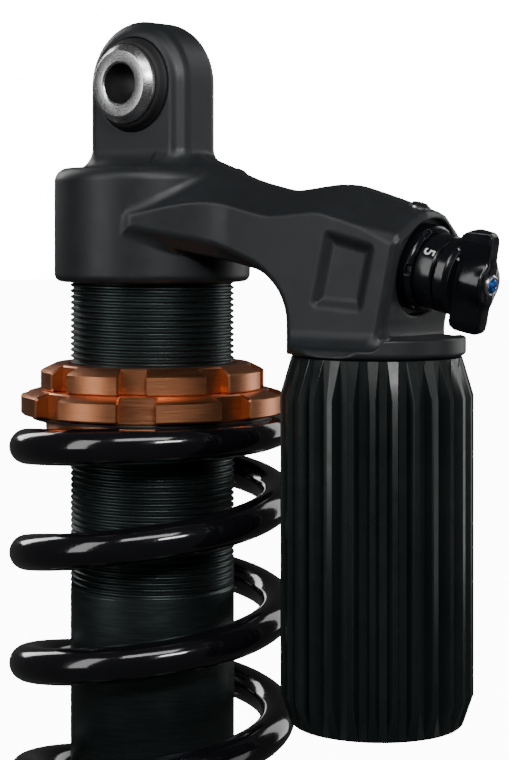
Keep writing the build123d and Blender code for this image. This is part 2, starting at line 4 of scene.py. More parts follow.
import bmesh
import bpy
import numpy as np
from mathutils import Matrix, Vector


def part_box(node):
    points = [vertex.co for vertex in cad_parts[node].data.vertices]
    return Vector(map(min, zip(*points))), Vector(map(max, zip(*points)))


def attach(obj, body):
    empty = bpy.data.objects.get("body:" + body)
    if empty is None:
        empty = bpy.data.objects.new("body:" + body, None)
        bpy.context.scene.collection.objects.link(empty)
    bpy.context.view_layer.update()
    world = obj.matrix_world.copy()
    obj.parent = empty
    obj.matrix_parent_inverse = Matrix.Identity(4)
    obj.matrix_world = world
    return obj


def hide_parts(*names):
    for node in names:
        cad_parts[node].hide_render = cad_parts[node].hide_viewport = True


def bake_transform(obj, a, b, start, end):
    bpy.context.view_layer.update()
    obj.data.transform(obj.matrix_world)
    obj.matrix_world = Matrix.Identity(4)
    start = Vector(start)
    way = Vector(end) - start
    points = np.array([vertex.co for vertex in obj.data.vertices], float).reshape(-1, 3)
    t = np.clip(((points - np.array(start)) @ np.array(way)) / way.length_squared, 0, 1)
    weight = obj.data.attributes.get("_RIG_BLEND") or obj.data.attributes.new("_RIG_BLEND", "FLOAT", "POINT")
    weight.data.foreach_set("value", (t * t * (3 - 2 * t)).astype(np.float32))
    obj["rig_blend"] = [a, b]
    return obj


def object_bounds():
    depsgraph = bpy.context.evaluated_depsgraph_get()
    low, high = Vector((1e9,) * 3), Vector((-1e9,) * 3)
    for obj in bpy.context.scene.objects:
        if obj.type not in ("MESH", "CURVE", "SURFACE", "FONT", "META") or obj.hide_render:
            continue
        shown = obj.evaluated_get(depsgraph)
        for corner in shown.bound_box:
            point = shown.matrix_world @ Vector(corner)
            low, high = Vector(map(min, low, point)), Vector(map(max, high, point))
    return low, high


# The looks of a coil-over rear shock. Shapes are worked out in millimetres in the CAD frame, and
# become metres when a mesh is made.
MM = 0.001

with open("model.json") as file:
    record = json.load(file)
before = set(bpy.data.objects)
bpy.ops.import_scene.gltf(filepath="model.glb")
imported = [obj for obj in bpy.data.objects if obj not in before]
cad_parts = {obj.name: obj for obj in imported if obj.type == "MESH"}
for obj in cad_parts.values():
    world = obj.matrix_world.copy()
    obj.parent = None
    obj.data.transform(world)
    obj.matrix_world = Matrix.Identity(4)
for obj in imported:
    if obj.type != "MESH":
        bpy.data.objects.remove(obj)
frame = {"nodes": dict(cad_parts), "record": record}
cad_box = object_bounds()
nodes = frame["nodes"]


def extent(node):
    """A CAD node's lowest and highest corners at rest, in millimetres."""
    low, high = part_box(node)
    return np.array(low) / MM, np.array(high) / MM


# --- places and sizes taken from the frame ----------------------------------------------------
tube_low, tube_high = extent("damper_tube")
TUBE_R = tube_high[0]
TUBE_TOP, TUBE_BOTTOM = tube_high[2], tube_low[2]
TUBE_BORE = extent("piston_band")[1][1]

head_low, head_high = extent("head_casting")
UPPER_EYE_R = head_high[2]
CAN_R = -head_low[0]

can_low, can_high = extent("reservoir_can")
RES_R = (can_high[0] - can_low[0]) / 2
RES_X = (can_high[0] + can_low[0]) / 2
RES_BOTTOM = can_low[2]

lock_low, lock_high = extent("lock_ring")
collar_low, collar_high = extent("preload_collar")
washer_low, washer_high = extent("thrust_washer")
spacer_low, spacer_high = extent("upper_spacer_left")
SPACER_R = spacer_high[2]
LOWER_EYE_Z = (extent("lower_spacer_left")[0][2] + extent("lower_spacer_left")[1][2]) / 2
SPRING_TOP = washer_low[2]
SPRING_BOTTOM = extent("lower_spring_perch")[1][2] - 6.0

CAN_TOP, CAN_BOTTOM = -21.0, -49.9
FLANGE_BOTTOM = -65.9
LOBES = 8

EYE_HALF_THICK = 8.0
BUSH_R, BARREL_R, BOLT_R = 10.5, 8.0, 5.0
LIP_R, LIP_FLOOR = 11.9, 6.5    # the seat of the lip seals, and its floor's distance from the middle
RUN = 0.05                      # running clearance

# The compression adjuster's axis leans down. Heights on it are measured out from the block's end face.
ADJUSTER_POINT = np.array([82.5, 0.0, -45.1])
ADJUSTER_LEAN = radians(12.7)


# --- meshes -----------------------------------------------------------------------------------
def new_object(name, vertices, faces, smooth_angle=35.0):
    """A piece from millimetre vertices. Edges sharper than smooth_angle degrees stay sharp."""
    mesh = bpy.data.meshes.new(name)
    mesh.from_pydata([tuple(v) for v in np.asarray(vertices, float) * MM], [], faces)
    bm = bmesh.new()
    bm.from_mesh(mesh)
    bmesh.ops.remove_doubles(bm, verts=bm.verts, dist=1e-7)
    bmesh.ops.dissolve_degenerate(bm, edges=bm.edges, dist=1e-7)
    bmesh.ops.recalc_face_normals(bm, faces=bm.faces)
    bm.to_mesh(mesh)
    bm.free()
    mesh.shade_smooth()
    mesh.set_sharp_from_angle(angle=radians(smooth_angle))
    obj = bpy.data.objects.new(name, mesh)
    bpy.context.scene.collection.objects.link(obj)
    return obj


def grid_faces(rows, columns, wrap_rows=True, wrap_columns=True, shift=0):
    """Quads of a grid stored column by column. The last column meets the first one shift rows on."""
    faces = []
    last_row = rows if wrap_rows else rows - 1
    for c in range(columns if wrap_columns else columns - 1):
        d = (c + 1) % columns
        step = shift if d == 0 else 0
        for r in range(last_row - step):
            a, b = c * rows + r, c * rows + (r + 1) % rows
            e, f = d * rows + (r + step) % rows, d * rows + (r + 1 + step) % rows
            faces.append((a, b, f, e))
    return faces


def frame_points(points, origin, right, up, axis):
    """Points given along three directions from an origin."""
    points = np.asarray(points, float)
    return np.asarray(origin) + points[:, :1] * right + points[:, 1:2] * up + points[:, 2:3] * axis


UPRIGHT = (np.zeros(3), np.array([1.0, 0, 0]), np.array([0, 1.0, 0]), np.array([0, 0, 1.0]))
ADJUSTER = (ADJUSTER_POINT, np.array([0, 1.0, 0]),
            np.array([sin(ADJUSTER_LEAN), 0, cos(ADJUSTER_LEAN)]),
            np.array([cos(ADJUSTER_LEAN), 0, -sin(ADJUSTER_LEAN)]))


def across(z, side):
    """The frame of something turned about an eye's axis, with heights measured out along side x Y."""
    return (np.array([0, 0, z]), np.array([0, 0, 1.0]), np.array([1.0, 0, 0]), np.array([0, side, 0.0]))


def rounded(points, radius, steps=3, closed=True):
    """An outline of (radius, height) points with each corner cut by a small arc."""
    points = [np.array(p, float) for p in points]
    count, out = len(points), []
    for i, p in enumerate(points):
        if not closed and i in (0, count - 1):
            out.append(p)
            continue
        before, after = points[i - 1] - p, points[(i + 1) % count] - p
        reach = min(radius, 0.45 * np.linalg.norm(before), 0.45 * np.linalg.norm(after))
        a, b = p + before / np.linalg.norm(before) * reach, p + after / np.linalg.norm(after) * reach
        for t in np.linspace(0, 1, steps):
            out.append((1 - t) ** 2 * a + 2 * t * (1 - t) * p + t ** 2 * b)
    return out


def turned(name, outline, place=UPRIGHT, segments=96, smooth_angle=35.0):
    """A closed solid of revolution from a closed outline of (radius, height) points."""
    outline = np.array(outline)
    vertices = []
    for angle in np.arange(segments) * 2 * pi / segments:
        ring = np.c_[outline[:, 0] * cos(angle), outline[:, 0] * sin(angle), outline[:, 1]]
        vertices.append(ring)
    points = frame_points(np.concatenate(vertices), *place)
    return new_object(name, points, grid_faces(len(outline), segments), smooth_angle)


def castellated(name, ring, slot, radius, floor, width, phase, edge=0.4):
    """A ring with LOBES square lobes. ring and slot are outlines with matching points, through a lobe
    and through a slot, and edge is the chamfer down each lobe's two ends."""
    ring, slot = np.array(ring), np.array(slot)
    outside = ring[:, 0] > floor + 1e-6
    inset = ring.copy()
    inset[outside, 0] -= edge
    lobe_rows = np.nonzero(outside)[0]
    middle = (ring[lobe_rows, 1].max() + ring[lobe_rows, 1].min()) / 2
    inset[outside, 1] -= np.sign(inset[outside, 1] - middle) * edge
    half = width / 2
    pitch = 2 * pi / LOBES
    at_wall, past_edge = asin(half / radius), asin((half + edge) / radius)
    columns = [(slot, None, a) for a in np.linspace(-0.75, 0.75, 5) * asin(half / floor)]
    columns = [(slot, -half, -at_wall)] + columns + [(slot, half, at_wall)]
    columns += [(inset, half, at_wall), (ring, half + edge, past_edge)]
    columns += [(ring, None, a) for a in np.linspace(past_edge, pitch - past_edge, 10)[1:-1]]
    columns += [(ring, -half - edge, pitch - past_edge), (inset, -half, pitch - at_wall)]
    vertices, count = [], 0
    for lobe in range(LOBES):
        turn = phase + lobe * pitch
        for outline, offset, angle in columns:
            base = turn + (pitch if offset is not None and angle > pitch / 2 else 0)
            for r, z in outline:
                if offset is not None and r > floor - 0.5:
                    a = base + asin(offset / r)
                else:
                    a = turn + angle
                vertices.append((r * cos(a), r * sin(a), z))
            count += 1
    return new_object(name, vertices, grid_faces(len(ring), count), 25.0)


# --- materials --------------------------------------------------------------------------------
def material(name, color, metallic=0.0, roughness=0.5, **sockets):
    """A principled material. Keywords name further shader sockets, with _ for a space."""
    made = bpy.data.materials.new(name)
    made.use_nodes = True
    shader = made.node_tree.nodes["Principled BSDF"]
    shader.inputs["Base Color"].default_value = (*color, 1)
    shader.inputs["Metallic"].default_value = metallic
    shader.inputs["Roughness"].default_value = roughness
    for socket, value in sockets.items():
        shader.inputs[socket.replace("_", " ")].default_value = value
    return made


def add_node(made, kind, inputs=None, **settings):
    """A node in a material's tree. An input is a plain value or another node's output socket."""
    node = made.node_tree.nodes.new(kind)
    for key, value in settings.items():
        setattr(node, key, value)
    for key, value in (inputs or {}).items():
        if isinstance(value, bpy.types.NodeSocket):
            made.node_tree.links.new(value, node.inputs[key])
        else:
            node.inputs[key].default_value = value
    return node


def link(made, output, socket):
    """Joins an output to one of the shader's inputs."""
    shader = made.node_tree.nodes["Principled BSDF"]
    made.node_tree.links.new(output, shader.inputs[socket])


def place_of(made, scale=(1, 1, 1), offset=(0, 0, 0)):
    """The point on the surface, in the row frame, in metres times scale."""
    where = add_node(made, "ShaderNodeTexCoord").outputs["Object"]
    mapping = add_node(made, "ShaderNodeMapping", {"Vector": where, "Scale": scale, "Location": offset})
    return mapping.outputs["Vector"]


def polar_place(made, x=0.0):
    """Radius, angle and height about an upright axis at x metres, as three sockets."""
    where = add_node(made, "ShaderNodeTexCoord").outputs["Object"]
    parts = add_node(made, "ShaderNodeSeparateXYZ", {0: where})
    shifted = add_node(made, "ShaderNodeMath", {0: parts.outputs["X"], 1: x}, operation="SUBTRACT")
    angle = add_node(made, "ShaderNodeMath", {0: parts.outputs["Y"], 1: shifted.outputs[0]},
                     operation="ARCTAN2")
    squares = [add_node(made, "ShaderNodeMath", {0: s, 1: 2.0}, operation="POWER").outputs[0]
               for s in (shifted.outputs[0], parts.outputs["Y"])]
    total = add_node(made, "ShaderNodeMath", {0: squares[0], 1: squares[1]}, operation="ADD")
    radius = add_node(made, "ShaderNodeMath", {0: total.outputs[0]}, operation="SQRT")
    return radius.outputs[0], angle.outputs[0], parts.outputs["Z"]


def noise(made, vector, scale, detail=3.0, roughness=0.6):
    made_noise = add_node(made, "ShaderNodeTexNoise",
                          {"Vector": vector, "Scale": scale, "Detail": detail, "Roughness": roughness})
    return made_noise.outputs["Fac"]


def spread(made, value, low, high, from_low=0.3, from_high=0.7):
    """value, mostly between from_low and from_high, spread to low..high."""
    limits = {"From Min": from_low, "From Max": from_high, "To Min": low, "To Max": high}
    return add_node(made, "ShaderNodeMapRange", {"Value": value, **limits}).outputs["Result"]


def tint(made, value, dark, light, from_low=0.3, from_high=0.7):
    """The base colour runs from dark to light with value."""
    ramp = add_node(made, "ShaderNodeValToRGB", {"Fac": value})
    ramp.color_ramp.elements[0].position = from_low
    ramp.color_ramp.elements[1].position = from_high
    ramp.color_ramp.elements[0].color = (*dark, 1)
    ramp.color_ramp.elements[1].color = (*light, 1)
    link(made, ramp.outputs["Color"], "Base Color")


def bump(made, height, distance, strength=1.0):
    made_bump = add_node(made, "ShaderNodeBump",
                         {"Height": height, "Distance": distance, "Strength": strength})
    link(made, made_bump.outputs["Normal"], "Normal")


def blasted_black(name, dark, light, low, high, grain=5200, depth=0.000012, **sockets):
    """Anodised aluminium over a bead-blasted skin: a fine grain, and slow changes of tone."""
    made = material(name, dark, **sockets)
    tone = noise(made, place_of(made), 45, 2)
    tint(made, tone, dark, light)
    link(made, spread(made, noise(made, place_of(made), 260, 4), low, high), "Roughness")
    bump(made, noise(made, place_of(made), grain, 2), depth)
    return made


def turned_metal(name, dark, light, low, high, x=0.0, fineness=9000, depth=0.000006, **sockets):
    """Metal turned about an upright axis: rings of fine tool marks, broken up along their length."""
    made = material(name, dark, **sockets)
    radius, angle, height = polar_place(made, x)
    total = add_node(made, "ShaderNodeMath", {0: radius, 1: height}, operation="ADD").outputs[0]
    slow = add_node(made, "ShaderNodeMath", {0: angle, 1: 0.0006}, operation="MULTIPLY").outputs[0]
    vector = add_node(made, "ShaderNodeCombineXYZ", {"X": total, "Y": slow, "Z": radius}).outputs[0]
    marks = noise(made, vector, fineness, 2, 0.7)
    tint(made, marks, dark, light)
    link(made, spread(made, marks, low, high), "Roughness")
    bump(made, marks, depth)
    return made


MATERIALS = {
    "head_black": blasted_black("head_black", (0.013, 0.0150, 0.0170), (0.017, 0.020, 0.0225), 0.40, 0.50,
                                Specular_IOR_Level=0.5),
    "tube_black": turned_metal("tube_black", (0.036, 0.047, 0.047), (0.058, 0.073, 0.071), 0.32, 0.46,
                               fineness=4200, metallic=0.85),
    "reservoir_black": blasted_black("reservoir_black", (0.005, 0.008, 0.008), (0.009, 0.012, 0.012),
                                     0.27, 0.36, grain=2600, depth=0.000005),
    "knob_black": blasted_black("knob_black", (0.004, 0.0045, 0.006), (0.006, 0.0065, 0.009), 0.14, 0.24,
                                grain=3000, depth=0.000003),
    "copper_anodised": turned_metal("copper_anodised", (0.54, 0.205, 0.095), (0.70, 0.30, 0.15), 0.30, 0.42,
                                    fineness=5200, metallic=1.0),
    "aluminium_bare": turned_metal("aluminium_bare", (0.60, 0.60, 0.61), (0.80, 0.80, 0.81), 0.20, 0.36,
                                   metallic=1.0),
    "spring_black": blasted_black("spring_black", (0.004, 0.004, 0.0055), (0.006, 0.006, 0.008), 0.10, 0.17,
                                  grain=420, depth=0.00003, Coat_Weight=0.6, Coat_Roughness=0.06),
    "steel": turned_metal("steel", (0.42, 0.42, 0.43), (0.62, 0.62, 0.63), 0.24, 0.40, metallic=1.0),
    "steel_black": blasted_black("steel_black", (0.022, 0.022, 0.024), (0.040, 0.040, 0.043), 0.30, 0.42,
                                 metallic=0.7),
    "hard_chrome": turned_metal("hard_chrome", (0.66, 0.66, 0.68), (0.76, 0.76, 0.78), 0.06, 0.12,
                                depth=0.000001, metallic=1.0),
    "bronze": turned_metal("bronze", (0.30, 0.17, 0.07), (0.48, 0.29, 0.13), 0.36, 0.52, metallic=1.0),
    "brass": turned_metal("brass", (0.52, 0.37, 0.13), (0.68, 0.52, 0.22), 0.22, 0.36, x=RES_X * MM,
                          metallic=1.0),
    "rubber": blasted_black("rubber", (0.008, 0.008, 0.008), (0.014, 0.014, 0.014), 0.55, 0.72, grain=3000),
    "urethane": blasted_black("urethane", (0.012, 0.012, 0.013), (0.026, 0.026, 0.028), 0.78, 0.92,
                              grain=1500, depth=0.00004),
    "ptfe": blasted_black("ptfe", (0.05, 0.12, 0.08), (0.09, 0.18, 0.12), 0.45, 0.6),
    "plastic_black": blasted_black("plastic_black", (0.01, 0.01, 0.01), (0.017, 0.017, 0.017), 0.38, 0.5),
    "blue_anodised": blasted_black("blue_anodised", (0.006, 0.10, 0.46), (0.012, 0.17, 0.62), 0.22, 0.34,
                                   metallic=0.85),
    "red_anodised": blasted_black("red_anodised", (0.36, 0.012, 0.012), (0.50, 0.025, 0.02), 0.24, 0.36,
                                  metallic=0.85),
}
WHITE_MARK = blasted_black("white_mark", (0.66, 0.66, 0.66), (0.80, 0.80, 0.80), 0.5, 0.62)
# The spacers' bolt bore: near-black painted shade inside the hole, not the metal's own colour.
PAINTED_SHADE_BORE = blasted_black("painted_shade_bore", (0.006, 0.006, 0.007), (0.012, 0.012, 0.013), 0.5, 0.62)


def dress(obj, slot, body, *replaced):
    """Gives a piece its material, slot and body, and hides the CAD nodes that it stands for."""
    obj.data.materials.append(MATERIALS[slot])
    if replaced:
        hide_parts(*replaced)
    if body:
        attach(obj, body)
    return obj


# --- solids given by a distance: negative inside, in millimetres -------------------------------
def both(a, b, radius=0.0):
    """What is inside a and b, with the edge between them rounded."""
    if radius <= 0:
        return np.maximum(a, b)
    return np.minimum(np.maximum(a, b), -radius) + np.hypot(np.maximum(a + radius, 0),
                                                            np.maximum(b + radius, 0))


def either(a, b, radius):
    """What is inside a or b, with a round fillet in the corner between them."""
    return np.maximum(np.minimum(a, b), radius) - np.hypot(np.maximum(radius - a, 0),
                                                           np.maximum(radius - b, 0))


def soft_min(a, b, width):
    """What is inside a or b, run together over a width."""
    h = np.maximum(width - np.abs(a - b), 0) / width
    return np.minimum(a, b) - h * h * width / 4


def beveled(a, b, leg, soft):
    """What is inside a and b, with a flat chamfer whose own edges are soft."""
    flat = (a + b + leg) / sqrt(2)
    return both(both(a, flat, soft), b, soft)


def polygon(points, x, z):
    """Distance to a closed polygon in the XZ plane, negative inside."""
    shape = np.broadcast(x, z).shape
    nearest = np.full(shape, 1e9)
    inside = np.zeros(shape, bool)
    for (ax, az), (bx, bz) in zip(points, points[1:] + points[:1]):
        ex, ez = bx - ax, bz - az
        t = np.clip(((x - ax) * ex + (z - az) * ez) / (ex * ex + ez * ez), 0, 1)
        nearest = np.minimum(nearest, np.hypot(x - ax - t * ex, z - az - t * ez))
        crossing = (az > z) != (bz > z)
        inside ^= crossing & (x < ax + (z - az) * ex / (ez if ez else 1.0))
    return np.where(inside, -nearest, nearest)


def surface_of(distance, low, high, step):
    """A mesh of a distance function's zero surface: one vertex in each cell that the surface crosses,
    drawn onto the surface along the gradient."""
    axes = [np.arange(a, b + step, step) for a, b in zip(low, high)]
    value = distance(*np.meshgrid(*axes, indexing="ij", sparse=True)).astype(np.float32)
    inside = value < 0
    corner = [inside[i:inside.shape[0] - 1 + i, j:inside.shape[1] - 1 + j, k:inside.shape[2] - 1 + k]
              for i in (0, 1) for j in (0, 1) for k in (0, 1)]
    total = sum(c.astype(np.uint8) for c in corner)
    crossed = (total > 0) & (total < 8)
    cells = np.argwhere(crossed)
    index = np.full(crossed.shape, -1, np.int64)
    index[crossed] = np.arange(len(cells))
    sums, hits = np.zeros((len(cells), 3)), np.zeros(len(cells))
    for axis in range(3):
        step_along = np.eye(3, dtype=int)[axis]
        others = [d for d in range(3) if d != axis]
        for i in (0, 1):
            for j in (0, 1):
                start = cells.copy()
                start[:, others[0]] += i
                start[:, others[1]] += j
                end = start + step_along
                a, b = value[tuple(start.T)], value[tuple(end.T)]
                cut = (a < 0) != (b < 0)
                t = np.where(cut, a / np.where(cut, a - b, 1), 0)
                point = start + t[:, None] * step_along
                sums[cut] += point[cut]
                hits += cut
    points = np.array(low) + step * sums / hits[:, None]
    for _ in range(4):
        points -= np.clip(distance(*points.T)[:, None], -step, step) * gradient(distance, points)
    faces = []
    for axis in range(3):
        others = [d for d in range(3) if d != axis]
        lower = [slice(None)] * 3
        upper = [slice(None)] * 3
        lower[axis], upper[axis] = slice(0, -1), slice(1, None)
        a, b = inside[tuple(lower)], inside[tuple(upper)]
        edges = np.argwhere(a != b)
        edges = edges[(edges[:, others[0]] > 0) & (edges[:, others[1]] > 0)]
        around = []
        for i, j in ((0, 0), (1, 0), (1, 1), (0, 1)):
            cell = edges.copy()
            cell[:, others[0]] -= i
            cell[:, others[1]] -= j
            around.append(index[tuple(cell.T)])
        quad = np.stack(around, 1)
        flip = a[tuple(edges.T)] ^ (axis != 1)
        quad[flip] = quad[flip][:, ::-1]
        faces.append(quad)
    return points, np.concatenate(faces)


def gradient(distance, points, reach=0.02):
    """The unit gradient of a distance function at each point."""
    out = np.empty_like(points)
    for axis in range(3):
        ahead, behind = points.copy(), points.copy()
        ahead[:, axis] += reach
        behind[:, axis] -= reach
        out[:, axis] = distance(*ahead.T) - distance(*behind.T)
    return out / np.maximum(np.linalg.norm(out, axis=1), 1e-9)[:, None]


def sculpted(name, distance, low, high, step, keep=1.0):
    """A piece from a distance function, thinned to a share of its faces, with exact normals."""
    points, faces = surface_of(distance, low, high, step)
    mesh = bpy.data.meshes.new(name)
    mesh.from_pydata([tuple(p) for p in points * MM], [], [tuple(f) for f in faces.tolist()])
    obj = bpy.data.objects.new(name, mesh)
    bpy.context.scene.collection.objects.link(obj)
    if keep < 1:
        thin = obj.modifiers.new("thin", "DECIMATE")
        thin.ratio = keep
        graph = bpy.context.evaluated_depsgraph_get()
        thinned = bpy.data.meshes.new_from_object(obj.evaluated_get(graph))
        obj.modifiers.clear()
        obj.data = thinned
        bpy.data.meshes.remove(mesh)
        mesh = thinned
        mesh.name = name
    kept = np.array([v.co for v in mesh.vertices]) / MM
    for _ in range(3):
        kept -= np.clip(distance(*kept.T)[:, None], -0.2, 0.2) * gradient(distance, kept)
    mesh.vertices.foreach_set("co", (kept * MM).astype(np.float32).ravel())
    mesh.shade_smooth()
    mesh.normals_split_custom_set_from_vertices([tuple(n) for n in gradient(distance, kept, 0.05)])
    mesh.update()
    return obj


# --- head casting -----------------------------------------------------------------------------
def arc_corner(points, at, radius, steps=10):
    """A polygon with the corner at one of its points replaced by an arc of that radius."""
    p = np.array(points[at], float)
    before = np.array(points[at - 1], float) - p
    after = np.array(points[(at + 1) % len(points)], float) - p
    before /= np.linalg.norm(before)
    after /= np.linalg.norm(after)
    half = acos(np.clip(before @ after, -1, 1)) / 2
    centre = p + (before + after) / np.linalg.norm(before + after) * radius / sin(half)
    start = p + before * radius / tan(half) - centre
    end = p + after * radius / tan(half) - centre
    sweep = pi - 2 * half
    arc = [(sin((1 - t) * sweep) * start + sin(t * sweep) * end) / sin(sweep) + centre
           for t in np.linspace(0, 1, steps)]
    return points[:at] + [tuple(a) for a in arc] + points[at + 1:]


CREST = 4.5                     # half width of the arm's flat top, before its edges are chamfered
CREST_CHAMFER = 1.1
HALF = 14.0                     # half width of the arm and block
WALL_X = 52.5                   # the block's wall that faces the tube
ARM_OUTLINE = [(8, -15), (90.1, -15), (78.8, FLANGE_BOTTOM), (WALL_X, FLANGE_BOTTOM),
               (WALL_X, -48.1), (8, -39.2)]
ARM_OUTLINE = arc_corner(ARM_OUTLINE, 4, 13.0)
FLANGE_R = 20.9
LEDGE, RAISED_LEDGE, RAISED_X = -63.9, -61.4, 82.0
POCKET = [(65.7, -38.6), (76.5, -41.2), (73.5, -53.7), (62.3, -53.1)]
POCKET_ROUND, POCKET_DEPTH, POCKET_DRAFT = 1.5, 1.3, 1.7
SOCKET_R, SOCKET_TOP = 8.4, -57.5
NUT_RECESS_R, NUT_RECESS = 11.5, -0.8
VALVE_R, VALVE_BOTTOM = 9.5, -24
BLEED_POINT, BLEED_TILT = np.array([81.6, 0, -31.05]), radians(16.8)
WASHER_SEAT_R, WASHER_SEAT = 2.7, -0.3


def bend(x, at, change, soft):
    """A change of slope at one place, spread over a soft length."""
    return change * (x - at + np.sqrt((x - at) ** 2 + soft ** 2)) / 2


def crest(x):
    """Height of the arm's and block's flat top."""
    slope = -20.0 - 0.40 * (x - 21.5)
    return slope + bend(x, 33, 0.17, 4) + bend(x, 46.5, 0.38, 3) + bend(x, 62.5, -0.46, 3)


def shoulder(x):
    """Height of the edge between the sloping flanks and the flat sides."""
    return -28.5 - 0.245 * (x - 26.5) + bend(x, 47.5, 0.345, 2.5) + bend(x, 62, -0.385, 2.5)


def can_and_tower(x, y, z):
    """The cylinder head, with the eye tower standing on it."""
    can = both(both(np.hypot(x, y) - CAN_R, z - CAN_TOP, 3.5), CAN_BOTTOM - z, 2.0)
    eye = np.where(z > 0, np.hypot(x, z), np.abs(x)) - UPPER_EYE_R
    tower = both(beveled(eye, np.abs(y) - EYE_HALF_THICK, 2.8, 0.9), CAN_TOP - 8 - z)
    return either(can, tower, 5.0)


def arm_and_block(x, y, z):
    """The bridge arm and the valve block. The chamfer under the arm narrows away from the can, and the
    one round the end face is only on the block."""
    side = np.abs(y)
    outline = polygon(ARM_OUTLINE, x, z)
    plan = either(np.hypot(x, y) - CAN_R, side - HALF, 14.0)
    under = np.clip(1.2 + (48 - x) * 0.17, 1.2, 4.0)
    arm = both(both(outline, (outline + plan + under) / sqrt(2), 0.7), plan, 0.7)
    top = z - crest(x)
    fall = (crest(x) - shoulder(x)) / (HALF - CREST)
    flank = (top + fall * (side - CREST)) / np.sqrt(1.1 + fall ** 2)
    edge = np.clip((x - 72) * 0.12, 0.1, 1.2)
    return beveled(arm, beveled(top, flank, CREST_CHAMFER, 0.25), edge, 0.3)


def flange(arm, x, y, z):
    """The round foot on the reservoir, raised under the adjuster and filleted up into the block."""
    ledge = either(z - LEDGE, both(z - RAISED_LEDGE, RAISED_X - x, 0.8), 2.5)
    foot = both(either(arm, ledge, 4.2), np.hypot(x - RES_X, y) - FLANGE_R, 0.5)
    return both(foot, FLANGE_BOTTOM - z, 1.2)


def pocket(x, y, z):
    """The shallow drafted pocket in each side of the block."""
    depth = HALF - np.abs(y)
    draft = polygon(POCKET, x, z) - POCKET_ROUND + depth * POCKET_DRAFT
    return both(draft / hypot(1, POCKET_DRAFT), depth - POCKET_DEPTH, 0.35)


def adjuster_heights(x, z):
    """Height along the adjuster's axis, and how far a point of the XZ plane stands above that axis."""
    dx, dz = x - ADJUSTER_POINT[0], z - ADJUSTER_POINT[2]
    along = dx * cos(ADJUSTER_LEAN) - dz * sin(ADJUSTER_LEAN)
    return along, dx * sin(ADJUSTER_LEAN) + dz * cos(ADJUSTER_LEAN)


def head_distance(x, y, z):
    """The head casting, with its bores and recesses cut out."""
    arm = arm_and_block(x, y, z)
    body = soft_min(can_and_tower(x, y, z), arm, 1.5)
    body = np.minimum(body, flange(arm, x, y, z))
    body = both(body, -pocket(x, y, z), 0.35)

    from_eye = np.hypot(x, z)
    body = both(body, BUSH_R - from_eye, 0.4)
    body = both(body, -both(from_eye - LIP_R, LIP_FLOOR - np.abs(y)), 0.3)
    body = both(body, -both(np.hypot(x, y) - TUBE_R, z - TUBE_TOP), 0.3)

    along, up = adjuster_heights(x, z)
    off_axis = np.hypot(y, up)
    body = both(body, -both(off_axis - NUT_RECESS_R, NUT_RECESS - along), 0.5)
    body = both(body, -both(off_axis - VALVE_R, VALVE_BOTTOM - along), 0.3)

    bx, bz = x - BLEED_POINT[0], z - BLEED_POINT[2]
    above = bx * sin(BLEED_TILT) + bz * cos(BLEED_TILT)
    around = np.hypot(y, bx * cos(BLEED_TILT) - bz * sin(BLEED_TILT))
    body = both(body, -both(around - WASHER_SEAT_R, WASHER_SEAT - above), 0.15)
    return both(body, -both(np.hypot(x - RES_X, y) - SOCKET_R, z - SOCKET_TOP), 0.3)


def make_head():
    step = 0.5
    low, high = head_low - 1.7 * step, head_high + 1.7 * step
    head = sculpted("head_body", head_distance, low, high, step, 0.55)
    return dress(head, "head_black", "head", "head_casting")


# --- eyes -------------------------------------------------------------------------------------
def make_spacer(name, z, side, body):
    """A bright spacer: a wide chamfered flange outside the eye and a barrel inside its bush."""
    face = spacer_high[1] - spacer_low[1]
    rim, inner = 1.7, LIP_FLOOR + RUN
    outline = [(BOLT_R + 0.5, face), (SPACER_R - rim, face), (SPACER_R, face - rim), (SPACER_R, inner),
               (BARREL_R, inner), (BARREL_R, 0.1), (BOLT_R, 0.1), (BOLT_R, face - 0.5)]
    piece = turned(name, rounded(outline, 0.14), across(z, side), 96, 30)
    dress(piece, "aluminium_bare", body, name)
    # The faces round the bolt bore take the second material, which paints the shade inside the bore.
    piece.data.materials.append(PAINTED_SHADE_BORE)
    for quad in piece.data.polygons:
        if np.hypot(quad.center.x, quad.center.z - z * MM) < (BOLT_R + 0.1) * MM:
            quad.material_index = 1


def make_lip_seals(name, z, body):
    """Both conical lip seals of one eye."""
    bore, rim = SPACER_R + 0.08, LIP_R - 0.05
    outline = [(bore, LIP_FLOOR + RUN), (rim, LIP_FLOOR + RUN), (rim, 8.15), (LIP_R - 0.5, 8.7),
               (SPACER_R + 0.9, 10.1), (bore, 10.5)]
    shapes = [turned(name + str(side), rounded(outline, 0.25), across(z, side)) for side in (-1, 1)]
    return dress(merged(name + "_pair", shapes), "rubber", body, name)


def merged(name, objects):
    """One piece from several."""
    bm = bmesh.new()
    for obj in objects:
        bm.from_mesh(obj.data)
        mesh = obj.data
        bpy.data.objects.remove(obj)
        bpy.data.meshes.remove(mesh)
    mesh = bpy.data.meshes.new(name)
    bm.to_mesh(mesh)
    bm.free()
    obj = bpy.data.objects.new(name, mesh)
    bpy.context.scene.collection.objects.link(obj)
    return obj


# --- threaded tube ----------------------------------------------------------------------------
THREAD_PITCH = 1.5
THREAD_DEPTH = 0.72
THREAD_END = -128.0
COLUMNS = 120


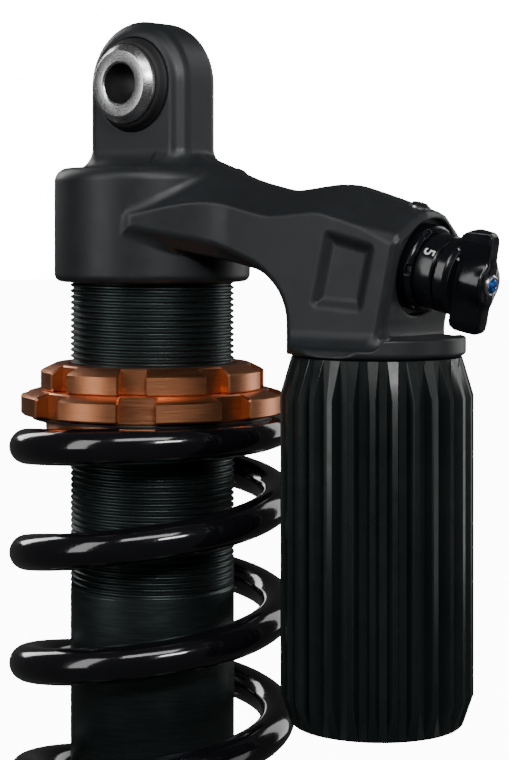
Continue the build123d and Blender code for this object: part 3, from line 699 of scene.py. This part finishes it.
def make_tube():
    """The damper body: a real helical thread down to THREAD_END, then plain."""
    profile = [(0.0, 0.0), (0.14, 0.0), (0.26, 0.35), (0.38, 0.85), (0.46, 1.0), (0.62, 1.0),
               (0.70, 0.85), (0.82, 0.35), (0.94, 0.0)]
    first = TUBE_TOP + THREAD_PITCH * 1.5
    turns = int((first - THREAD_END) / THREAD_PITCH) + 3
    thread_top = TUBE_TOP - 1.2
    plain = TUBE_R - 0.1
    rows = []
    for turn in range(turns):
        rows += [(turn + share, depth) for share, depth in profile]
    vertices = []
    for column in range(COLUMNS):
        angle = 2 * pi * column / COLUMNS
        for share, depth in rows:
            z = first - THREAD_PITCH * (share + column / COLUMNS)
            fade = np.clip((z - THREAD_END) / 1.6, 0, 1)
            r = plain - THREAD_DEPTH * depth * fade
            z = min(max(z, THREAD_END), thread_top)
            if not THREAD_END < z < thread_top:
                r = plain
            vertices.append((r * cos(angle), r * sin(angle), z))
    faces = grid_faces(len(rows), COLUMNS, False, True, len(profile))
    outline = [(plain, THREAD_END), (plain, THREAD_END - 0.2), (plain, TUBE_BOTTOM + 1.0),
               (TUBE_R - 1.1, TUBE_BOTTOM), (TUBE_BORE + 0.1, TUBE_BOTTOM), (TUBE_BORE + 0.05, TUBE_TOP),
               (TUBE_R - 0.6, TUBE_TOP), (plain, thread_top)]
    start = len(vertices)
    for column in range(COLUMNS):
        angle = 2 * pi * column / COLUMNS
        vertices += [(r * cos(angle), r * sin(angle), z) for r, z in outline]
    faces += [tuple(start + i for i in f) for f in grid_faces(len(outline), COLUMNS, False)]
    return dress(new_object("damper_body", vertices, faces, 50), "tube_black", "head", "damper_tube")


# --- preload collar, lock ring and thrust washer ----------------------------------------------
def make_lock_ring():
    """The notched ring that locks the collar."""
    radius, floor = max(lock_high[:2]), 25.2
    bottom, top, rim = lock_low[2], lock_high[2], lock_high[2] - 1.5
    bore, c = TUBE_R + RUN, 0.4
    ring = [(bore, bottom), (floor, bottom), (radius - c, bottom), (radius, bottom + c), (radius, rim - c),
            (radius - c - 0.1, rim), (floor, top - 0.15), (floor - 0.4, top),
            (bore + 0.7, top), (bore, top - 0.7)]
    slot = [(bore, bottom), (floor - 0.3, bottom), (floor, bottom + 0.3), (floor, bottom + 0.8),
            (floor, rim - 0.9), (floor, rim - 0.3), (floor, top - 0.35), (floor - 0.35, top),
            (bore + 0.7, top), (bore, top - 0.7)]
    piece = castellated("lock_nut", ring, slot, radius, floor, 6.7, radians(-59.5))
    return dress(piece, "copper_anodised", "lock_ring", "lock_ring")


def make_collar():
    """The larger notched ring that carries the spring, with a plain pilot under it."""
    radius, floor, pilot = 33.5, 29.7, 27.2
    bottom, top = collar_low[2], collar_high[2]
    seat, lobe_bottom, rim = top - 6.75, top - 6.15, top - 1.05
    bore, c = TUBE_R + RUN, 0.45
    below = [(bore, bottom), (pilot - 0.5, bottom), (pilot, bottom + 0.5), (pilot, seat),
             (floor - 0.3, seat), (floor, seat + 0.3), (floor, lobe_bottom)]
    bore_edge = [(bore + 0.7, top), (bore, top - 0.7)]
    lobe = [(radius - c, lobe_bottom), (radius, lobe_bottom + c), (radius, rim - c),
            (radius - c - 0.1, rim), (floor, top - 0.12), (floor - 0.4, top)]
    gap = [(floor, lobe_bottom + 0.2), (floor, lobe_bottom + 0.8), (floor, rim - 0.9), (floor, rim - 0.3),
           (floor, top - 0.35), (floor - 0.35, top)]
    ring, slot = below + lobe + bore_edge, below + gap + bore_edge
    piece = castellated("preload_nut", ring, slot, radius, floor, 9.1, radians(-56))
    return dress(piece, "copper_anodised", "preload_collar", "preload_collar")


def make_washer():
    """The thin washer between the collar and the spring."""
    bore, radius, low, high = 27.4, washer_high[0], washer_low[2], washer_high[2]
    outline = [(bore, low), (radius, low), (radius, high), (bore, high)]
    piece = turned("spring_washer", rounded(outline, 0.12))
    return dress(piece, "plastic_black", "preload_washer", "thrust_washer")


# --- coil spring ------------------------------------------------------------------------------
WIRE_R = 4.5
COIL_R = 32.0
WIRE_SIDES = 28
STEPS_PER_TURN = 88
TIP_ANGLE = radians(180)
FRONT_TURN = 0.6444             # turns from the tip to the middle of the first coil's front
CLOSED_RISE, OPEN_RISE = 6.8, 28.0      # millimetres per turn in the end coils and between them
CLOSED_TURN, OPEN_TURN = 0.50, 1.20     # where one gives way to the other


def make_spring():
    """A right-hand spring with closed, ground ends. Each end coil stays with its own seat when the shock
    is compressed, and the coils between share the travel."""
    middle = (SPRING_TOP + SPRING_BOTTOM) / 2
    turn = np.linspace(0, 6, 6 * 96 + 1)
    t = np.clip((turn - CLOSED_TURN) / (OPEN_TURN - CLOSED_TURN), 0, 1)
    active = t * t * (3 - 2 * t)
    fall = np.cumsum(CLOSED_RISE + (OPEN_RISE - CLOSED_RISE) * active) * (turn[1] - turn[0])
    fall -= fall[0]
    height = SPRING_TOP - 4.0 + np.interp(FRONT_TURN, turn, fall) - fall
    half_turns = np.interp(-middle, -height, turn)
    u = np.linspace(0, 2 * half_turns, int(2 * half_turns * STEPS_PER_TURN))
    from_end = np.minimum(u, 2 * half_turns - u)
    z = np.interp(from_end, turn, height)
    z = np.where(u > half_turns, 2 * middle - z, z)
    share = np.interp(from_end, turn, np.cumsum(active))
    share = np.where(u > half_turns, 2 * np.interp(half_turns, turn, np.cumsum(active)) - share, share)
    share = (share - share[0]) / (share[-1] - share[0])
    angle = TIP_ANGLE - 2 * pi * u
    centre = np.c_[COIL_R * np.cos(angle), COIL_R * np.sin(angle), z]
    ahead = np.gradient(centre, axis=0)
    ahead /= np.linalg.norm(ahead, axis=1)[:, None]
    outwards = np.c_[np.cos(angle), np.sin(angle), np.zeros_like(angle)]
    upwards = np.cross(outwards, ahead)
    vertices, weights = [], []
    for i in range(len(u)):
        shrink = 1.0 if 0 < i < len(u) - 1 else 0.93
        for k in range(WIRE_SIDES):
            a = 2 * pi * k / WIRE_SIDES
            p = centre[i] + shrink * WIRE_R * (cos(a) * outwards[i] + sin(a) * upwards[i])
            p[2] = min(max(p[2], SPRING_BOTTOM), SPRING_TOP)
            vertices.append(p)
            weights.append(share[i])
    faces = grid_faces(WIRE_SIDES, len(u), True, False)
    faces.append(tuple(range(WIRE_SIDES)))
    faces.append(tuple(len(vertices) - 1 - k for k in range(WIRE_SIDES)))
    mesh = bpy.data.meshes.new("spring_coil")
    mesh.from_pydata([tuple(v * MM) for v in vertices], [], faces)
    mesh.shade_smooth()
    mesh.set_sharp_from_angle(angle=radians(40))
    spring = bpy.data.objects.new("spring_coil", mesh)
    bpy.context.scene.collection.objects.link(spring)
    dress(spring, "spring_black", None, "coil_spring")
    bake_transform(spring, "head", "shaft", start=(0, 0, SPRING_TOP * MM), end=(0, 0, SPRING_BOTTOM * MM))
    mesh.attributes["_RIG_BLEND"].data.foreach_set("value", np.array(weights, np.float32))
    return spring


# --- reservoir --------------------------------------------------------------------------------
FLUTES = 28
FLUTE_FLOOR = 20.1
END_R = 20.2
END_TAPER = 9.2


def make_reservoir():
    """The gas reservoir: flutes with sloping walls between narrow lands, and a cone at each end."""
    top, bottom = FLANGE_BOTTOM, RES_BOTTOM
    heights = [(top, END_R - 0.7), (top - 0.35, END_R - 0.15), (top - END_TAPER, RES_R),
               (bottom + END_TAPER - 2, RES_R), (bottom + 0.5, END_R + 0.1), (bottom, END_R - 0.45)]
    wall, roof, neck = 18.05, 4, 5.0
    pitch = 2 * pi / FLUTES
    vertices, columns = [], 0
    for flute in range(FLUTES):
        centre = flute * pitch
        for place in (-1.0, -0.93, -0.5, 0.5, 0.93, 1.0):
            for z, r in heights:
                floor = min(FLUTE_FLOOR, r - 0.05)
                mouth = 0.9 + 0.9 * (r - FLUTE_FLOOR) / (RES_R - FLUTE_FLOOR)
                if abs(place) == 1.0:
                    offset, radius = mouth + 0.12, r
                elif abs(place) == 0.93:
                    offset, radius = mouth, r - 0.14
                else:
                    offset, radius = 0.9, floor
                a = centre + np.sign(place) * asin(offset / radius)
                vertices.append((RES_X + radius * cos(a), radius * sin(a), z))
            a = centre + place * pitch * 0.34
            inner = [(wall + 0.6, bottom), (wall, bottom + 0.6), (wall, top - roof),
                     (neck, top - roof), (neck, top)]
            for radius, z in inner:
                vertices.append((RES_X + radius * cos(a), radius * sin(a), z))
            columns += 1
    piece = new_object("reservoir_shell", vertices, grid_faces(len(heights) + 5, columns), 28)
    return dress(piece, "reservoir_black", "head", "reservoir_can")


# --- compression adjuster ---------------------------------------------------------------------
NUT_R, NUT_TOP = 10.2, 3.0
DIAL_R, DIAL_TOP = 8.9, 8.0
KNOB_BASE, SKIRT_TOP, KNOB_TOP = 8.2, 12.0, 18.2
WING_R, HUB_R = 11.9, 4.7
WING_HALF, WING_NARROWING = 4.2, 0.36
SPINDLE_R, CENTRE_R = 2.5, 1.6
WING_TURN = radians(4)
NOTCHES = 6
NUMBER_SIZE = 4.0
POINTER_ANGLE = 49


def on_adjuster(distance):
    """A distance function of the adjuster's own right, up and height."""
    def placed(x, y, z):
        along, up = adjuster_heights(x, z)
        return distance(y, up, along)
    return placed


def knob_distance(right, up, height):
    """The wing knob: a skirt, a round hub and two drafted wings with faceted tips."""
    r = np.hypot(right, up)
    across_wing = np.abs(right * cos(WING_TURN) + up * sin(WING_TURN))
    along_wing = np.abs(up * cos(WING_TURN) - right * sin(WING_TURN))
    skirt = beveled(beveled(r - DIAL_R, height - SKIRT_TOP, 0.9, 0.2), KNOB_BASE - height, 0.4, 0.15)
    half = WING_HALF - (height - SKIRT_TOP) * WING_NARROWING
    tip = np.maximum(along_wing - 9.4, 0) * 0.35
    blade = both(across_wing - half + tip, height - KNOB_TOP, 0.5)
    blade = both(blade, r - WING_R, 0.3)
    blade = both(blade, (along_wing - 11.7 + (height - KNOB_TOP + 0.9)) / sqrt(2), 0.3)
    blade = both(blade, (along_wing - 11.0 - (height - SKIRT_TOP)) / sqrt(2), 0.2)
    blade = both(blade, SKIRT_TOP - 0.5 - height)
    hub = both(r - HUB_R, height - KNOB_TOP, 0.5)
    body = either(both(hub, KNOB_BASE + 0.5 - height), blade, 1.6)
    body = either(body, skirt, 0.5)
    return both(body, SPINDLE_R + 0.02 - r, 0.25)


def nut_distance(right, up, height):
    """The notched nut that holds the valve in the block, with the valve below it and the dial's core."""
    r = np.hypot(right, up)
    angle = np.arctan2(up, right)
    nearest = np.abs((angle * NOTCHES / (2 * pi) + 0.5) % 1 - 0.5) * 2 * pi / NOTCHES
    nut = beveled(both(r - NUT_R, -0.75 - height), height - NUT_TOP, 0.7, 0.15)
    notch = both(both(r * np.sin(np.minimum(nearest, pi / 2)) - 1.1, 9.4 - r), 1.8 - height, 0.2)
    nut = both(nut, -notch, 0.2)
    valve = both(r - 9.45, both(height + 0.7, -24 - height))
    carrier = both(r - DIAL_R + 2, both(height - DIAL_TOP + 0.5, -0.8 - height))
    body = np.minimum(np.minimum(nut, valve), carrier)
    return both(body, SPINDLE_R + 0.05 - r, 0.2)


def knob_box(low_height, high_height, radius):
    """A box in the row frame around a stretch of the adjuster's axis."""
    ends = ADJUSTER_POINT + np.outer([low_height, high_height], ADJUSTER[3])
    return ends.min(0) - radius, ends.max(0) + radius


def make_adjuster():
    """The adjuster: wing knob, valve and nut, dial, and the retainer in the knob's middle."""
    step = 0.28
    low, high = knob_box(KNOB_BASE, KNOB_TOP, 12.0)
    knob = sculpted("wing_grip", on_adjuster(knob_distance), low, high, step, 0.6)
    dress(knob, "knob_black", "wing_knob", "wing_knob")
    low, high = knob_box(-24, DIAL_TOP, 10.5)
    nut = sculpted("valve_nut", on_adjuster(nut_distance), low, high, step * 1.3, 0.5)
    dress(nut, "knob_black", "head", "valve_body")
    outline = [(DIAL_R - 2, NUT_TOP + 0.02), (DIAL_R - 0.35, NUT_TOP + 0.02), (DIAL_R, NUT_TOP + 0.37),
               (DIAL_R, DIAL_TOP - 0.5), (DIAL_R - 0.5, DIAL_TOP), (DIAL_R - 2, DIAL_TOP)]
    dial = turned("dial_drum", rounded(outline, 0.1), ADJUSTER)
    dress(dial, "knob_black", "head", "dial_ring")
    bore, cap = CENTRE_R + RUN, KNOB_TOP + 1.0
    outline = [(bore, KNOB_TOP - 2), (SPINDLE_R, KNOB_TOP - 2), (SPINDLE_R, cap - 0.4),
               (SPINDLE_R - 0.4, cap), (CENTRE_R + 0.4, cap), (bore, cap - 0.35)]
    retainer = turned("knob_cap", rounded(outline, 0.1), ADJUSTER)
    dress(retainer, "aluminium_bare", "wing_knob", "knob_retainer")


def raised_text(name, text, size, place, bend_radius=None):
    """Thin lettering, 0.05 mm proud. place is (origin, right, up, out)."""
    curve = bpy.data.curves.new(name, "FONT")
    curve.body = text
    curve.size = size
    curve.align_x, curve.align_y = "CENTER", "CENTER"
    curve.extrude = 0.05
    curve.offset = 0.012 * size
    curve.resolution_u = 6
    temporary = bpy.data.objects.new(name, curve)
    mesh = bpy.data.meshes.new_from_object(temporary)
    bpy.data.objects.remove(temporary)
    bpy.data.curves.remove(curve)
    bm = bmesh.new()
    bm.from_mesh(mesh)
    bmesh.ops.triangulate(bm, faces=bm.faces)
    bmesh.ops.subdivide_edges(bm, edges=[e for e in bm.edges if e.calc_length() > 0.5], cuts=2)
    bmesh.ops.remove_doubles(bm, verts=bm.verts, dist=1e-5)
    origin, right, up, out = place
    for v in bm.verts:
        x, y, lift = v.co
        if bend_radius:
            a = x / bend_radius
            reach = bend_radius + lift
            p = origin + up * y + right * reach * sin(a) + out * (reach * cos(a))
        else:
            p = origin + right * x + up * y + out * lift
        v.co = Vector(p * MM)
    bm.to_mesh(mesh)
    bm.free()
    mesh.name = name
    obj = bpy.data.objects.new(name, mesh)
    bpy.context.scene.collection.objects.link(obj)
    return obj


def around_adjuster(angle):
    """The directions out from the adjuster's axis, and round it, at an angle."""
    right, up = ADJUSTER[1:3]
    a = radians(angle)
    return -right * cos(a) + up * sin(a), -(right * sin(a) + up * cos(a))


def make_dial_numbers():
    """Numbers round the dial."""
    origin, axis = ADJUSTER[0], ADJUSTER[3]
    middle = origin + axis * (NUT_TOP + DIAL_TOP) / 2
    for number, angle in (("0", 153), ("5", 33), ("10", -87)):
        out, down = around_adjuster(angle)
        piece = raised_text("dial_number_" + number, number, NUMBER_SIZE, (middle, down, axis, out), DIAL_R)
        piece.data.materials.append(WHITE_MARK)
        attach(piece, "head")


def make_pointer():
    """A V on the knob's skirt, in two strokes."""
    origin, axis = ADJUSTER[0], ADJUSTER[3]
    out, down = around_adjuster(POINTER_ANGLE)
    point = origin + axis * SKIRT_TOP + out * 5.8
    strokes = []
    for side in (-1, 1):
        corners = [(0, 0), (side * 1.4, 2.5), (side * 0.7, 2.5), (0, 1.2)]
        base = [point + down * a + out * (b - 1.0) for a, b in corners]
        strokes += [b + axis * lift for lift in (-0.1, 0.04) for b in base]
    faces = []
    for k in (0, 8):
        faces += [(k, k + 1, k + 2, k + 3), (k + 7, k + 6, k + 5, k + 4)]
        faces += [(k + i, k + 4 + i, k + 4 + (i + 1) % 4, k + (i + 1) % 4) for i in range(4)]
    pointer = new_object("dial_pointer", strokes, faces)
    pointer.data.materials.append(WHITE_MARK)
    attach(pointer, "wing_knob")


# --- studio -----------------------------------------------------------------------------------
VIEW_AZIMUTH = radians(38)
VIEW_DISTANCE = 512.0
VIEW_OFFSET = 26.1
VIEW_HEIGHT = -35.3
LENS = 94.74
SHIFT_Y = -0.205


def make_camera():
    """A level camera in front and to the right of the eye's axis, with its frame shifted down."""
    towards = np.array([sin(VIEW_AZIMUTH), -cos(VIEW_AZIMUTH), 0])
    right = np.array([cos(VIEW_AZIMUTH), sin(VIEW_AZIMUTH), 0])
    camera = bpy.data.objects.new("camera", bpy.data.cameras.new("camera"))
    camera.location = Vector((towards * VIEW_DISTANCE + right * VIEW_OFFSET + [0, 0, VIEW_HEIGHT]) * MM)
    camera.rotation_euler = (pi / 2, 0, VIEW_AZIMUTH)
    camera.data.lens = LENS
    camera.data.sensor_width = 36.0
    camera.data.shift_y = SHIFT_Y
    camera.data.clip_start = 0.01
    bpy.context.scene.collection.objects.link(camera)
    bpy.context.scene.camera = camera


def soft_box(name, azimuth, distance, height, size, energy, target=(0.03, 0, -0.09)):
    """A rectangular light at an azimuth from the front, aimed at the shock."""
    light = bpy.data.lights.new(name, "AREA")
    light.shape = "RECTANGLE"
    light.size, light.size_y = size
    light.energy = energy
    obj = bpy.data.objects.new(name, light)
    a = radians(azimuth)
    obj.location = (target[0] + distance * sin(a), target[1] - distance * cos(a), height)
    obj.rotation_euler = (Vector(target) - obj.location).to_track_quat("-Z", "Y").to_euler()
    bpy.context.scene.collection.objects.link(obj)


def glowing(name, colour, strength):
    """A pale surface for the stage, with a glow of its own."""
    made = material(name, colour, roughness=0.9)
    shader = made.node_tree.nodes["Principled BSDF"]
    shader.inputs["Emission Color"].default_value = (1, 1, 1, 1)
    shader.inputs["Emission Strength"].default_value = strength
    return made


def stage(name, vertices, faces, colour, strength):
    """Floor or backdrop. It is there for the camera alone, and lights nothing."""
    mesh = bpy.data.meshes.new(name)
    mesh.from_pydata(vertices, [], faces)
    mesh.materials.append(glowing(name, colour, strength))
    obj = bpy.data.objects.new(name, mesh)
    bpy.context.scene.collection.objects.link(obj)
    obj.visible_diffuse = obj.visible_glossy = obj.visible_transmission = False
    return obj


def make_studio():
    """Soft boxes round the shock, a pale floor and backdrop, and a little light from everywhere."""
    camera = degrees(VIEW_AZIMUTH)
    soft_box("left", camera - 60, 1.2, 0.3, (0.4, 1.0), 5.0)
    soft_box("front", camera + 14, 1.3, 0.5, (0.5, 0.16), 9.0)
    soft_box("right", camera + 72, 1.2, 0.1, (0.4, 1.2), 2.0)
    soft_box("high", camera - 10, 1.0, 0.95, (1.0, 0.35), 7.0)
    soft_box("back_right", camera + 128, 1.1, 0.2, (0.4, 1.2), 3.5)
    soft_box("back_left", camera - 140, 1.1, 0.4, (0.3, 0.6), 3.0)
    floor_z = cad_box[0].z - 0.002
    reach, steps = 9.0, 48
    ring = [(reach * cos(2 * pi * i / steps), reach * sin(2 * pi * i / steps)) for i in range(steps)]
    stage("floor", [(0, 0, floor_z)] + [(x, y, floor_z) for x, y in ring],
          [(0, 1 + i, 1 + (i + 1) % steps) for i in range(steps)], (0.9, 0.9, 0.9), 12.0)
    wall = [(x, y, floor_z) for x, y in ring] + [(x, y, 12.0) for x, y in ring] + [(0, 0, 12.0)]
    sides = [(i, (i + 1) % steps, steps + (i + 1) % steps, steps + i) for i in range(steps)]
    roof = [(steps + i, steps + (i + 1) % steps, 2 * steps) for i in range(steps)]
    stage("backdrop", wall, sides + roof, (0.9, 0.9, 0.9), 16.0)
    world = bpy.data.worlds.new("studio")
    world.use_nodes = True
    world.node_tree.nodes["Background"].inputs["Color"].default_value = (1, 1, 1, 1)
    world.node_tree.nodes["Background"].inputs["Strength"].default_value = 0.05
    bpy.context.scene.world = world


# --- the whole shock --------------------------------------------------------------------------
def dress_cad_nodes():
    """Every CAD node that still shows gets its slot's material."""
    for part in frame["record"]["subparts"]:
        node = nodes[part["node"]]
        node.data.materials.clear()
        node.data.materials.append(MATERIALS[part["material_slot"]])


dress_cad_nodes()
make_camera()
make_studio()
make_head()
EYES = (("upper", 0.0, "upper_spacers", "head"), ("lower", LOWER_EYE_Z, "lower_spacers", "shaft"))
for eye, z, outer, inner in EYES:
    make_spacer(eye + "_spacer_left", z, -1, outer)
    make_spacer(eye + "_spacer_right", z, 1, outer)
    make_lip_seals(eye + "_lip_seals", z, inner)
make_tube()
make_lock_ring()
make_collar()
make_washer()
make_spring()
make_reservoir()
make_adjuster()
make_dial_numbers()
make_pointer()
